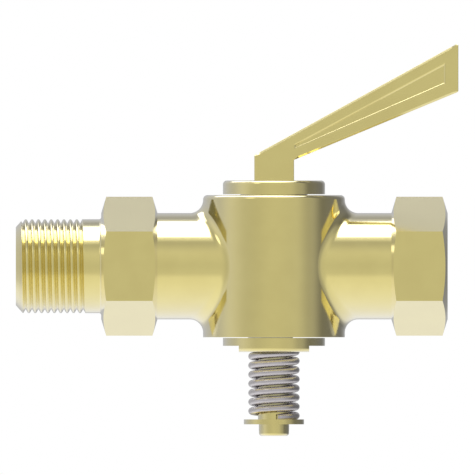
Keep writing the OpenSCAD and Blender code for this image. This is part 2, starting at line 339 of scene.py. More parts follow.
def shade(mesh):
    """Gives each face corner the true normal of the surface that it lies on."""
    vertex = read(mesh.loops, "vertex_index", int, 1)
    face = np.repeat(np.arange(len(mesh.polygons)), read(mesh.polygons, "loop_total", int, 1))
    kind = read(mesh.polygons, "material_index", int, 1)[face]
    spots = read(mesh.vertices, "co", float, 3)[vertex] / MM
    own = read(mesh.polygons, "normal", float, 3)[face]
    area = read(mesh.polygons, "area", float, 1)[face]
    aims = read(mesh.attributes["aim"].data, "vector", float, 3)
    aimed = np.linalg.norm(aims, axis=1) > 0.5
    normals = own.copy()

    for which, axis in ((kind == ABOUT_X, 0), (kind == ABOUT_Z, 2)):
        which &= ~aimed
        normals[which] = about(spots[which], own[which], axis)
    which = (kind == SOFT) & ~aimed
    if which.any():
        # The mean over the neighbouring soft faces
        _, group = np.unique(vertex[which], return_inverse=True)
        total = np.zeros((group.max() + 1, 3))
        np.add.at(total, group, own[which] * area[which][:, None])
        normals[which] = unit(total)[group]
    turned = np.sum(aims * own, axis=1) < 0
    aims[turned] *= -1
    normals[aimed] = unit(aims[aimed])

    mesh.attributes.remove(mesh.attributes["aim"])
    mesh.polygons.foreach_set("use_smooth", np.ones(len(mesh.polygons), bool))
    mesh.normals_split_custom_set(normals.tolist())


def dress(name, mesh, body, node, material):
    """Makes the mesh the visible piece for a CAD node."""
    shade(mesh)
    mesh.materials.clear()
    mesh.materials.append(material)
    mesh.polygons.foreach_set("material_index", np.zeros(len(mesh.polygons), int))
    piece = place(name, mesh)
    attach(piece, body)
    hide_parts(node)
    return piece


# Threads


def thread_shape():
    """One pitch of a 60 degree thread, from one crest to the next.

    Returns places, depths, and the depths of its second flank run on without the next crest."""
    slope = math.tan(math.radians(60))
    half = PITCH / 2
    angles = np.radians([0, 20, 40, 60])
    crest = CREST_R * np.sin(angles)
    flank = np.linspace(crest[-1], half - ROOT_R * math.sin(math.radians(60)), FLANK_STEPS + 1)[1:]
    depths = np.concatenate([CREST_R * (1 - np.cos(angles)),
                             CREST_R / 2 + (flank - crest[-1]) * slope])
    places = np.concatenate([crest, flank])
    straight = depths[-1] - (places[-1] - places) * slope
    places = np.concatenate([places, [half], PITCH - places[:0:-1]])
    root = [depths[-1] + ROOT_R / 2]
    return places, np.concatenate([depths, root, depths[:0:-1]]), np.concatenate(
        [depths, root, straight[:0:-1]])


def thread_rows(turns, x_first, x_last, crest_x, limit, inside, end_turns):
    """A right-hand thread as lines that follow the helix, one row of points for each turn angle.

    limit(x) is the plain radius. The thread stays below it, or above it for a cutter's thread.
    Returns places along the pipe, radii, and whether each point lies on the thread."""
    places, depths, straight = thread_shape()
    count = len(places)
    first = math.floor((x_first - crest_x) / PITCH) - 2
    last = math.ceil((x_last - crest_x) / PITCH) + 2
    pitches = np.repeat(np.arange(first, last), count)
    base = pitches * PITCH + np.tile(places, last - first)
    depths = np.tile(depths, last - first)
    straight = np.tile(straight, last - first)
    rows = []
    for turn in turns:
        x = crest_x + base - PITCH * turn / (2 * math.pi)
        wound = pitches - turn / (2 * math.pi)
        lift = np.clip((wound - (end_turns - RUN_OUT_TURNS)) / RUN_OUT_TURNS, 0, 1) * depths.max()
        depth = np.where(wound + 1 > end_turns, straight, depths) - lift
        plain = limit(np.clip(x, x_first, x_last))
        cut = THREAD_R - depth
        over = plain - cut if inside else cut - plain
        inner = (x > x_first) & (x < x_last)
        on = (over > 0) & inner
        x = np.clip(x, x_first, x_last)
        r = np.where(on, cut, plain)
        for k in np.nonzero(on[1:] != on[:-1])[0]:
            if not (inner[k] and inner[k + 1]) or over[k] == over[k + 1]:
                continue
            share = over[k] / (over[k] - over[k + 1])
            crossing = x[k] + (x[k + 1] - x[k]) * share
            nearest = k if share < 0.5 else k + 1
            x[nearest] = crossing
            r[nearest] = limit(crossing)
        rows.append((x, r, on))
    return rows, count


def add_thread(skin, rows, count, turns):
    """Faces of a thread: after a full turn each line goes on as the line one pitch further on."""
    made = []
    for (x, r, on), turn in zip(rows, turns):
        made.append((skin.row(columns(x, r * np.sin(turn), r * np.cos(turn))), on))
    lines = len(made[0][0])
    for k in range(len(made)):
        near, near_on = made[k]
        far, far_on = made[(k + 1) % len(made)]
        if k == len(made) - 1:
            shifted = np.clip(np.arange(lines) - count, 0, lines - 1)
            far, far_on = far[shifted], far_on[shifted]
        some = near_on[:-1] | near_on[1:] | far_on[:-1] | far_on[1:]
        skin.quads(near, far, np.where(some, SOFT, ABOUT_X))


# Pieces


def ring_x(turns, x, r):
    return columns(x, r * np.sin(turns), r * np.cos(turns))


def hex_rings(turns, x1, x2):
    """Rims of the six flats, where the end chamfers meet them."""
    within = np.mod(turns, math.pi / 3) - math.pi / 6
    r = HEX_FLAT / np.cos(within)
    rise = (r - HEX_FACE_R) * HEX_CHAMFER
    return ring_x(turns, x1 + rise, r), ring_x(turns, x2 - rise, r)


def neck_rings(turns):
    """Rings of the rolling-ball fillet on the +X side, from the neck to the barrel, and their normals."""
    centre = ball_centre(turns)
    to_neck = columns(0, -np.sin(turns), -np.cos(turns))
    to_barrel = -centre * [1, 1, 0] / (BARREL_R + NECK_FILLET_R)
    span = np.arccos(np.sum(to_neck * to_barrel, axis=1))[:, None]
    rings = []
    aims = []
    for part in np.linspace(0, 1, FILLET_STEPS + 1):
        way = (to_neck * np.sin((1 - part) * span) + to_barrel * np.sin(part * span)) / np.sin(span)
        rings.append(centre + way * NECK_FILLET_R)
        aims.append(-way)
    return rings, aims


def plain_male(x):
    """Radius of the male end without its thread."""
    lead_in = LEAD_IN_R + (x - MALE_END) * (THREAD_R - LEAD_IN_R) / LEAD_IN_LEN
    return np.minimum(THREAD_R, lead_in)


def plain_socket(x):
    """Radius of the female end without its thread."""
    return np.maximum(SOCKET_R, SOCKET_MOUTH_R + x - FEMALE_END)


def body_outside():
    """The body before it is bored: ends, hexagons, necks, fillets and barrel as one closed skin."""
    skin = Skin()
    turns = full_turn(STATIONS)
    fillet, fillet_aims = neck_rings(turns)
    flip = np.array([-1, 1, 1])
    angles = np.linspace(0, math.pi / 2, EDGE_STEPS + 1)

    skin.loft([ring_x(turns, MALE_END, 0), ring_x(turns, MALE_END, LEAD_IN_R)], FLAT)
    thread_end = MALE_END + THREAD_LEN + THREAD_SPARE
    rows, count = thread_rows(turns, MALE_END, thread_end, FIRST_CREST_X, plain_male, True,
                              GROOVE_TURNS)
    add_thread(skin, rows, count, turns)
    arc = [ring_x(turns, MALE_HEX_FACE - SHANK_FILLET_R * (1 - math.sin(a)),
                  THREAD_R + SHANK_FILLET_R * (1 - math.cos(a))) for a in angles]
    arc_aims = [ring_x(turns, -math.sin(a), math.cos(a)) for a in angles]
    skin.loft([ring_x(turns, thread_end, THREAD_R), arc[0]], ABOUT_X)
    skin.loft(arc, FLAT, arc_aims)
    hex_start, hex_end = hex_rings(turns, MALE_HEX_FACE, -MALE_REACH)
    neck_x = -MALE_REACH - (NECK_R - HEX_FACE_R) * HEX_CHAMFER
    skin.loft([arc[-1], ring_x(turns, MALE_HEX_FACE, HEX_FACE_R), hex_start, hex_end,
               ring_x(turns, neck_x, NECK_R), fillet[0] * flip],
              [ABOUT_X, ABOUT_X, FLAT, ABOUT_X, ABOUT_X])
    skin.loft([ring * flip for ring in fillet], FLAT, [aim * flip for aim in fillet_aims])

    hex_start, hex_end = hex_rings(turns, FEMALE_REACH, FEMALE_END)
    neck_x = FEMALE_REACH + (NECK_R - HEX_FACE_R) * HEX_CHAMFER
    skin.loft(fillet, FLAT, fillet_aims)
    skin.loft([fillet[0], ring_x(turns, neck_x, NECK_R), hex_start, hex_end,
               ring_x(turns, FEMALE_END, HEX_FACE_R), ring_x(turns, FEMALE_END, 0)],
              [ABOUT_X, ABOUT_X, FLAT, ABOUT_X, FLAT])

    # The barrel starts from the fillets' edges: its upper half first, with the rounded top edge
    quarter = STATIONS // 4
    upper = np.arange(-quarter, quarter + 1)
    edge = fillet[-1][upper]
    limit = math.atan2(edge[-1, 1], edge[-1, 0])
    between = int(round((math.pi - 2 * limit) / BARREL_STEP))
    plain = np.linspace(limit, math.pi - limit, between + 1)[1:-1]
    plain = columns(BARREL_R * np.cos(plain), BARREL_R * np.sin(plain), 0)
    low = np.concatenate([edge, plain, edge[::-1] * flip, -plain])
    out = unit(low * [1, 1, 0])
    top = BARREL_TOP - BARREL_EDGE_R
    rim = []
    for a in angles:
        r = BARREL_R - BARREL_EDGE_R * (1 - math.cos(a))
        rim.append(out * r + [0, 0, top + BARREL_EDGE_R * math.sin(a)])
    skin.loft([low, rim[0]], ABOUT_Z)
    skin.loft(rim, FLAT, [out * math.cos(a) + [0, 0, math.sin(a)] for a in angles])
    skin.loft([rim[-1], out * 0 + [0, 0, BARREL_TOP]], FLAT)
    # Its lower edge is only broken
    rings = [low * [1, 1, -1]]
    for r, z in ((BARREL_R, BREAK - BARREL_TOP), (BARREL_R - BREAK, -BARREL_TOP), (0, -BARREL_TOP)):
        rings.append(out * r + [0, 0, z])
    skin.loft(rings, [ABOUT_Z, ABOUT_Z, FLAT])
    return skin.mesh("body_outside")


def seat_cutter():
    """The tapered hole for the plug."""
    skin = Skin()
    turns = full_turn(STATIONS)
    slope = (PLUG_TOP_R - PLUG_SMALL_R) / (2 * BARREL_TOP)
    rings = []
    end = BARREL_TOP + CUT_PAST
    for z, hollow in ((-end, 0), (-end, 1), (end, 1), (end, 0)):
        r = (PLUG_SMALL_R + SEAT_GAP + slope * (z + BARREL_TOP)) * hollow
        rings.append(columns(r * np.cos(turns), r * np.sin(turns), z))
    skin.loft(rings, [FLAT, ABOUT_Z, FLAT])
    return skin.mesh("seat")


def port_cutter():
    """The upright oblong passage through the seat's walls."""
    skin = Skin()
    arc = np.linspace(0, math.pi, STATIONS // 4 + 1)
    y = PORT_W / 2 * np.cos(arc)
    z = PORT_W / 2 * np.sin(arc) + (PORT_H - PORT_W) / 2
    y = np.concatenate([y, -y])
    z = np.concatenate([z, -z])
    ends = [columns(x, y, z) for x in (-FLOW_STOP, FLOW_STOP)]
    away = columns(0, y, z - np.sign(z) * (PORT_H - PORT_W) / 2) / (PORT_W / 2)
    skin.loft(ends, FLAT, [away, away])
    for end in ends:
        skin.plate([end])
    return skin.mesh("port")


def male_bore_cutter():
    """The drilled waterway of the male end, with its drill point and the bevel at its mouth."""
    skin = Skin()
    turns = full_turn(STATIONS)
    skin.loft([ring_x(turns, x, r) for x, r in
               ((FLOW_POINT - FLOW_STOP, 0), (-FLOW_STOP, FLOW_R), (MALE_END + BORE_BEVEL, FLOW_R),
                (MALE_END - CUT_PAST, FLOW_R + BORE_BEVEL + CUT_PAST), (MALE_END - CUT_PAST, 0))],
              [ABOUT_X, ABOUT_X, ABOUT_X, FLAT])
    return skin.mesh("male_bore")


def socket_cutter():
    """The waterway of the female end, and its socket with the female thread."""
    skin = Skin()
    turns = full_turn(STATIONS)
    floor = FEMALE_END - SOCKET_DEPTH
    start = floor + SOCKET_PLAIN
    outside = FEMALE_END + SOCKET_PAST
    skin.loft([ring_x(turns, x, r) for x, r in
               ((FLOW_STOP - FLOW_POINT, 0), (FLOW_STOP, FLOW_R), (floor, FLOW_R), (floor, SOCKET_R),
                (start, SOCKET_R))],
              [ABOUT_X, ABOUT_X, FLAT, ABOUT_X])
    rows, count = thread_rows(turns, start, outside, SOCKET_CREST_X, plain_socket, False, math.inf)
    add_thread(skin, rows, count, turns)
    skin.loft([ring_x(turns, outside, plain_socket(outside)), ring_x(turns, outside, 0)], [FLAT])
    return skin.mesh("socket")


def make_body(material):
    cutters = [seat_cutter(), port_cutter(), male_bore_cutter(), socket_cutter()]
    mesh = carve(body_outside(), cutters)
    return dress("body_casting", mesh, "valve_body", "valve_body", material)


def make_spring(material):
    """The wound wire, with both ends ground flat."""
    skin = Skin()
    steps = int(SPRING_TURNS * WIRE_STEPS)
    sides = full_turn(WIRE_SIDES)
    rings = []
    for k in range(steps + 1):
        turn = math.radians(WIRE_START + 360 * SPRING_TURNS * k / steps)
        r = COIL_R + WIRE_R * np.cos(sides)
        z = WIRE_LOW + (WIRE_HIGH - WIRE_LOW) * k / steps + WIRE_R * np.sin(sides)
        rings.append(columns(r * math.cos(turn), r * math.sin(turn), z))
    skin.loft(rings, SOFT)
    skin.plate([rings[0]])
    skin.plate([rings[-1]])
    mesh = skin.mesh("spring_coil")
    shape = bmesh.new()
    shape.from_mesh(mesh)
    for level, way in ((SPRING_TOP - SPRING_LEN, -1), (SPRING_TOP, 1)):
        parts = [*shape.verts, *shape.edges, *shape.faces]
        cut = bmesh.ops.bisect_plane(shape, geom=parts, plane_co=(0, 0, level * MM),
                                     plane_no=(0, 0, way), clear_outer=True)
        rim = [e for e in cut["geom_cut"] if isinstance(e, bmesh.types.BMEdge)]
        made = bmesh.ops.holes_fill(shape, edges=rim, sides=0)
        for face in made["faces"]:
            face.material_index = FLAT
    bmesh.ops.recalc_face_normals(shape, faces=shape.faces)
    shape.to_mesh(mesh)
    shape.free()
    piece = dress("spring_coil", mesh, "key_washer", "spring", material)
    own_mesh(piece)
    return piece


def under_z(x):
    return HEAD_TOP + CROOK_H + (x - FOOT_FRONT) * UNDER_SLOPE


def top_z(x):
    return HEAD_TOP + BACK_H + (x + FOOT_BACK) * TOP_SLOPE


def crossing(first, second, inset):
    """Where two edges of a side view cross, both drawn in by some amount."""
    return np.linalg.solve([first[1], second[1]], [np.dot(*first) - inset, np.dot(*second) - inset])


def ease(ends, part):
    """A value on its smooth way from one end to the other, and how fast it grows there."""
    first, last = ends
    return first + (last - first) * part * part * (3 - 2 * part), (last - first) * 6 * part * (1 - part)


def lever_stations():
    """Places round the lever's side view, from the back of its foot over the tip to its front.

    Each has a point, the way out, the way that it moves when the outline is drawn in, the bevel
    of the edge there, how fast that grows along the outline, and how sharply the outline bends."""
    steep = math.hypot(1, TOP_SLOPE)
    steep_under = math.hypot(1, UNDER_SLOPE)
    back = np.array([(-FOOT_BACK, 0), (-1, 0)])
    top = np.array([(0, top_z(0)), (-TOP_SLOPE / steep, 1 / steep)])
    tip = np.array([(LEVER_REACH, 0), (1, 0)])
    under = np.array([(0, under_z(0)), (UNDER_SLOPE / steep_under, -1 / steep_under)])
    front = np.array([(FOOT_FRONT, 0), (1, 0)])
    made = []

    def add(point, out, bevel, growth=0.0, bend=0.0, pull=None):
        made.append((point, out, out if pull is None else pull, bevel, growth, bend))

    def corner(first, last, bevels):
        centre = crossing(first, last, LEVER_CORNER_R)
        span = math.acos(first[1] @ last[1])
        for part in np.linspace(0, 1, EDGE_STEPS + 1):
            way = first[1] * math.sin((1 - part) * span) + last[1] * math.sin(part * span)
            way /= math.sin(span)
            bevel, growth = ease(bevels, part)
            growth /= span * LEVER_CORNER_R
            add(centre + way * LEVER_CORNER_R, way, bevel, growth, 1 / LEVER_CORNER_R)

    def taper(start, out, bevels):
        along = np.array([out[1], -out[0]])
        for part in np.linspace(0, 1, TAPER_STEPS + 1):
            bevel, growth = ease(bevels, part)
            add(start + along * TAPER_LEN * part, out, bevel, growth / TAPER_LEN)

    worn = (LEVER_CORNER_R, LEVER_BEVEL)
    add(np.array([-FOOT_BACK, HEAD_TOP]), back[1], FOOT_BACK_BEVEL)
    corner(back, top, (FOOT_BACK_BEVEL, LEVER_CORNER_R))
    taper(made[-1][0], top[1], worn)
    turn_point = crossing(top, tip, LEVER_CORNER_R) + top[1] * LEVER_CORNER_R
    taper(turn_point - np.array([top[1][1], -top[1][0]]) * TAPER_LEN, top[1], worn[::-1])
    corner(top, tip, (LEVER_CORNER_R, CRISP_BEVEL))
    corner(tip, under, (CRISP_BEVEL, LEVER_CORNER_R))
    taper(made[-1][0], under[1], worn)
    crook = crossing(under, front, 0)
    taper(crook - np.array([under[1][1], -under[1][0]]) * TAPER_LEN, under[1], (LEVER_BEVEL, CRISP_BEVEL))
    made.pop()
    pull = crook - crossing(under, front, 1)
    add(crook, under[1], CRISP_BEVEL, pull=pull)
    add(crook, front[1], CRISP_BEVEL, pull=pull)
    add(np.array([FOOT_FRONT, HEAD_TOP]), front[1], CRISP_BEVEL)
    return [np.array(values) for values in zip(*made)]


def bevel_profile():
    """A bevel with soft borders, from the face to the rim, for a width of 1.

    Gives how far out it is, how far it has gone down, and the normal, out and up from the face."""
    made = []
    for a in np.radians([0, 22.5, 45, 45, 67.5, 90]):
        first = len(made) < 3
        out = BEVEL_SOFT * math.sin(a) + (0 if first else 1 - BEVEL_SOFT)
        down = 1 - BEVEL_SOFT * math.cos(a) - (1 - BEVEL_SOFT if first else 0)
        s, c = unit(np.array([BEVEL_STEEPNESS * math.sin(a), math.cos(a)]))
        made.append((out, down * BEVEL_STEEPNESS, s, c))
    return made


def lever_ring(stations, profile, side):
    """A ring of the lever's skin and its normals, for one point of the bevel's profile."""
    spots, outs, pulls, bevels, growths, bends = stations
    out, down, s, c = profile
    spots = spots - pulls * (bevels * (1 - out))[:, None]
    skew = growths * ((1 - out) * s + down * c) / np.maximum(1 - bends * bevels * (1 - out), 1e-6)
    slants = outs * s + np.stack([outs[:, 1], -outs[:, 0]], axis=1) * skew[:, None]
    points = columns(spots[:, 0], side * (LEVER_HALF - bevels * down), spots[:, 1])
    return points, unit(columns(slants[:, 0], side * c, slants[:, 1]))


def panel_ring(inset, depth, lean, side):
    """The sunk panel's outline at some depth, doubled at its corners, and its normals.

    lean is the normal in the wall's own plane: inwards, and out of the face."""
    x1 = PANEL_START + inset
    x2 = LEVER_REACH - PANEL_TIP_RIM - inset
    low = (PANEL_LOW_RIM + inset) * math.hypot(1, UNDER_SLOPE)
    high = (PANEL_TOP_RIM + inset) * math.hypot(1, TOP_SLOPE)
    corners = np.array([[x1, under_z(x1) + low], [x2, under_z(x2) + low + PANEL_LOW_GAIN],
                        [x2, top_z(x2) - high - PANEL_TOP_GAIN], [x1, top_z(x1) - high]])
    points = []
    aims = []
    for k in range(4):
        first, last = corners[k], corners[(k + 1) % 4]
        along = (last - first) / np.linalg.norm(last - first)
        inwards = np.array([-along[1], along[0]])
        for corner in (first, last):
            points.append([corner[0], side * (LEVER_HALF - depth), corner[1]])
            aims.append([inwards[0] * lean[0], side * lean[1], inwards[1] * lean[0]])
    return np.array(points), np.array(aims)


def panel_wall():
    """The wall of the sunk panel: how far in, how deep, and its normal, inwards and out of the face."""
    made = []
    for a in np.linspace(0, PANEL_SLOPE, PANEL_MOUTH_STEPS + 1):
        s, c = math.sin(a), math.cos(a)
        made.append((PANEL_MOUTH_R * s, PANEL_MOUTH_R * (1 - c), (s, c)))
    inset, depth, (steep, level) = made[-1]
    for a in np.linspace(PANEL_SLOPE, 0, PANEL_BED_STEPS + 1)[1:]:
        s, c = math.sin(a), math.cos(a)
        made.append((inset + PANEL_BED_R * (steep - s), depth + PANEL_BED_R * (c - level), (s, c)))
    return made


def make_lever(material):
    """The lever: a slab with bevelled edges, a sunk panel on both faces and a tang under its foot."""
    skin = Skin()
    stations = lever_stations()
    bevel = bevel_profile()
    made = [lever_ring(stations, part, side) for side in (-1, 1) for part in bevel[::-side]]
    rings = [ring for ring, _ in made]
    skin.loft(rings, FLAT, [aims for _, aims in made], closed=False)

    for side, face in ((-1, rings[0]), (1, rings[-1])):
        made = [panel_ring(inset, depth, normal, side) for inset, depth, normal in panel_wall()]
        skin.loft([ring for ring, _ in made], FLAT, [aim for _, aim in made])
        skin.plate([face, made[0][0][::2]])
        skin.plate([made[-1][0][::2]])

    # Sole and tang
    sole = np.array([ring[0] for ring in rings] + [ring[-1] for ring in rings[::-1]])
    x1, x2 = -FOOT_BACK + TANG_SHOULDER, FOOT_FRONT - TANG_SHOULDER
    y = LEVER_HALF - TANG_SHOULDER
    tang = np.array([[x1, -y, HEAD_TOP], [x2, -y, HEAD_TOP], [x2, y, HEAD_TOP], [x1, y, HEAD_TOP]])
    skin.plate([sole, tang])
    skin.loft([tang, tang - [0, 0, TANG_LEN]], FLAT)
    skin.plate([tang - [0, 0, TANG_LEN]])
    return dress("lever", skin.mesh("lever"), "plug", "lever_handle", material)


# Camera and studio


class Nodes:
    """A node tree with short calls for the few kinds of node that the looks need."""

    def __init__(self, tree):
        self.tree = tree
        tree.nodes.clear()

    def add(self, kind, **settings):
        node = self.tree.nodes.new(kind)
        for name, value in settings.items():
            setattr(node, name, value)
        return node

    def put(self, socket, value):
        if isinstance(value, bpy.types.NodeSocket):
            self.tree.links.new(value, socket)
        else:
            socket.default_value = value

    def math(self, operation, *values):
        node = self.add("ShaderNodeMath", operation=operation)
        for socket, value in zip(node.inputs, values):
            self.put(socket, value)
        return node.outputs[0]

    def hypot(self, first, second):
        square = self.math("MULTIPLY", first, first)
        return self.math("SQRT", self.math("MULTIPLY_ADD", second, second, square))

    def noise(self, at, scale, detail):
        """Noise round 0.5, over a place or along a single number."""
        single = at.type == "VALUE"
        node = self.add("ShaderNodeTexNoise", noise_dimensions="1D" if single else "3D")
        self.put(node.inputs["W" if single else "Vector"], at)
        node.inputs["Scale"].default_value = scale
        node.inputs["Detail"].default_value = detail
        return node.outputs["Fac"]

    def step(self, value, low, high):
        """0 below low, 1 above high, smooth between them."""
        node = self.add("ShaderNodeMapRange", interpolation_type="SMOOTHSTEP")
        for socket, given in zip(node.inputs, (value, low, high, 0.0, 1.0)):
            self.put(socket, given)
        return node.outputs[0]

    def band(self, value, low, high, soft):
        """1 between low and high, falling to 0 over soft on either side."""
        return self.math(
            "MULTIPLY",
            self.step(value, low - soft, low + soft),
            self.step(value, high + soft, high - soft),
        )

    def curve(self, value, stops):
        """The level at value, from stops of (value, level)."""
        first, last = stops[0][0], stops[-1][0]
        share = self.add("ShaderNodeMapRange")
        for socket, given in zip(share.inputs, (value, first, last, 0.0, 1.0)):
            self.put(socket, given)
        ramp = self.add("ShaderNodeValToRGB")
        ramp.color_ramp.interpolation = "EASE"
        elements = ramp.color_ramp.elements
        for k, (at, level) in enumerate(stops):
            spot = (at - first) / (last - first)
            element = elements[k] if k < 2 else elements.new(spot)
            element.position = spot
            element.color = (level, level, level, 1.0)
        self.put(ramp.inputs[0], share.outputs[0])
        return ramp.outputs[0]

    def mix(self, share, first, second):
        """A colour between two, as far towards the second as the share says."""
        node = self.add("ShaderNodeMix", data_type="RGBA")
        for name, value in (("Factor", share), ("A", first), ("B", second)):
            self.put(node.inputs[name], value)
        return node.outputs["Result"]

    def blend(self, share, first, second):
        """A number between two, as far towards the second as the share says."""
        near = self.math("MULTIPLY", first, 1 - share)
        return self.math("ADD", near, self.math("MULTIPLY", second, share))

    def mix_shaders(self, share, first, second):
        node = self.add("ShaderNodeMixShader")
        for socket, value in zip(node.inputs, (share, first.outputs[0], second.outputs[0])):
            self.put(socket, value)
        return node

    def finish(self, kind, shader):
        """Ends the tree in an output node."""
        self.put(self.add(kind).inputs["Surface"], shader.outputs[0])


def new_material(name):
    """A material and its empty node tree."""
    material = bpy.data.materials.new(name)
    material.use_nodes = True
    return material, Nodes(material.node_tree)


def stage_piece(name, build, **settings):
    """A piece of the studio, made by one of bmesh's operations."""
    mesh = bpy.data.meshes.new(name)
    shape = bmesh.new()
    build(shape, **settings)
    shape.to_mesh(mesh)
    shape.free()
    return place(name, mesh)


# The camera's distance in metres, and the grey of the room's soft light
CAMERA_DISTANCE = 1.0
ROOM_GREY = 0.8


def make_camera():
    """A straight-on camera without perspective, framed as the photograph is."""
    middle = (PHOTO_PIXELS - 1) / 2
    pixel = PIXEL_MM * MM
    data = bpy.data.cameras.new("camera")
    data.type = "ORTHO"
    data.ortho_scale = PHOTO_PIXELS * pixel
    camera = bpy.data.objects.new("camera", data)
    camera.location = ((middle - AXIS_PIXEL[0]) * pixel, -CAMERA_DISTANCE, (AXIS_PIXEL[1] - middle) * pixel)
    camera.rotation_euler = (math.radians(90), 0, 0)
    bpy.context.scene.collection.objects.link(camera)
    bpy.context.scene.camera = camera


def make_world():
    """Plain soft light, and a white background for the eye, for gloss and for glass."""
    world = bpy.data.worlds.new("studio")
    bpy.context.scene.world = world
    world.use_nodes = True
    nodes = Nodes(world.node_tree)
    path = nodes.add("ShaderNodeLightPath")
    seen = nodes.math("MAXIMUM", path.outputs["Is Camera Ray"], path.outputs["Is Glossy Ray"])
    seen = nodes.math("MAXIMUM", seen, path.outputs["Is Transmission Ray"])
    soft = nodes.add("ShaderNodeBackground")
    soft.inputs["Color"].default_value = (ROOM_GREY, ROOM_GREY, ROOM_GREY, 1)
    white = nodes.add("ShaderNodeBackground")
    white.inputs["Color"].default_value = (1, 1, 1, 1)
    nodes.finish("ShaderNodeOutputWorld", nodes.mix_shaders(seen, soft, white))


# Brightness of the light tent's walls by elevation, in degrees
TENT_HEIGHT = [(-90, 0.9), (-50, 0.88), (-28, 0.84), (-13, 0.64), (0, 0.61), (28, 0.67), (54, 0.5),
               (61, 0.82), (68, 0.85), (90, 0.6)]
# Share of it that each side gives: behind, left, camera, right with its dark screen, behind
TENT_ROUND = [(-180, 0.76), (-160, 0.82), (-108, 0.84), (-75, 1.06), (-42, 0.9), (0, 1.0), (35, 0.96),
              (62, 0.68), (88, 0.31), (138, 0.28), (152, 0.42), (168, 0.7), (180, 0.76)]
# The tent's radius in metres
TENT_R = 3.0
# Elevations between which the sides' differences fade out
TENT_FADE = (-35.0, -3.0)
# How much brighter the left side is below, and the heights between which that sets in
LOW_SLANT = 0.1
LOW_SLANT_SPAN = (0.0, -0.4)
# Softboxes: brightness, where their edges start and end, and how those narrow or slant.
# KEY_LIGHT_EDGE is in degrees from KEY_LIGHT_WAY, the others are parts of a way of length 1
OVERHEAD = 2.4
OVERHEAD_EDGE = (0.875, 0.905)
OVERHEAD_NARROW = 0.15
BACK_LIGHT = 1.5
BACK_LIGHT_SPAN = (-0.68, -0.3)
BACK_LIGHT_SOFT = 0.03
BACK_LIGHT_SLANT = -0.3
BACK_LIGHT_LOW = (0.66, 0.74)
BACK_LIGHT_FRONT = (0.0, -0.1)
KEY_LIGHT = 1.0
KEY_LIGHT_WAY = (-0.565, -0.606, 0.559)
KEY_LIGHT_EDGE = (10.0, 6.0)
# The floor: how pale it is, its radius and those between which it fades out, in metres, and its
# gap under the part, in millimetres
FLOOR_COLOUR = 0.9
FLOOR_R = 0.5
FLOOR_FADE = (0.21, 0.07)
FLOOR_GAP = 0.2


def make_tent():
    """A tent of soft light round the set, out of the camera's sight: grey walls, a bright roof strip."""
    tent = stage_piece("tent", bmesh.ops.create_uvsphere, u_segments=48, v_segments=24, radius=TENT_R)
    material, nodes = new_material("tent")
    where = nodes.add("ShaderNodeNewGeometry").outputs["Position"]
    way = nodes.add("ShaderNodeVectorMath", operation="NORMALIZE")
    nodes.put(way.inputs[0], where)
    split = nodes.add("ShaderNodeSeparateXYZ")
    nodes.put(split.inputs[0], way.outputs[0])
    x, y, z = split.outputs
    front = nodes.math("MULTIPLY", y, -1.0)

    elevation = nodes.math("DEGREES", nodes.math("ARCSINE", z))
    azimuth = nodes.math("DEGREES", nodes.math("ARCTAN2", x, front))
    height = nodes.curve(elevation, TENT_HEIGHT)
    around = nodes.curve(azimuth, TENT_ROUND)
    fade = nodes.step(elevation, *TENT_FADE)
    around = nodes.math("ADD", 1.0, nodes.math("MULTIPLY", fade, nodes.math("SUBTRACT", around, 1.0)))
    walls = nodes.math("MULTIPLY", height, around)
    aslant = nodes.math("MULTIPLY", x, nodes.step(z, *LOW_SLANT_SPAN))
    aslant = nodes.math("MULTIPLY_ADD", aslant, -LOW_SLANT, 1.0)
    walls = nodes.math("MULTIPLY", walls, aslant)
    overhead = nodes.math("MULTIPLY_ADD", nodes.math("MULTIPLY", y, y), -OVERHEAD_NARROW, z)
    overhead = nodes.step(overhead, *OVERHEAD_EDGE)
    back = nodes.band(x, *BACK_LIGHT_SPAN, BACK_LIGHT_SOFT)
    slanted = nodes.math("MULTIPLY_ADD", x, BACK_LIGHT_SLANT, z)
    back = nodes.math("MULTIPLY", back, nodes.step(slanted, *BACK_LIGHT_LOW))
    back = nodes.math("MULTIPLY", back, nodes.step(front, *BACK_LIGHT_FRONT))
    toward = nodes.add("ShaderNodeVectorMath", operation="DOT_PRODUCT")
    nodes.put(toward.inputs[0], way.outputs[0])
    toward.inputs[1].default_value = KEY_LIGHT_WAY
    away = nodes.math("DEGREES", nodes.math("ARCCOSINE", toward.outputs["Value"]))
    key = nodes.step(away, *KEY_LIGHT_EDGE)
    level = walls
    for box, strength in ((overhead, OVERHEAD), (back, BACK_LIGHT), (key, KEY_LIGHT)):
        level = nodes.math("ADD", level, nodes.math("MULTIPLY", box, strength))
    glow = nodes.add("ShaderNodeEmission")
    nodes.put(glow.inputs["Strength"], level)
    nodes.finish("ShaderNodeOutputMaterial", glow)
    tent.data.materials.append(material)
    tent.visible_camera = False


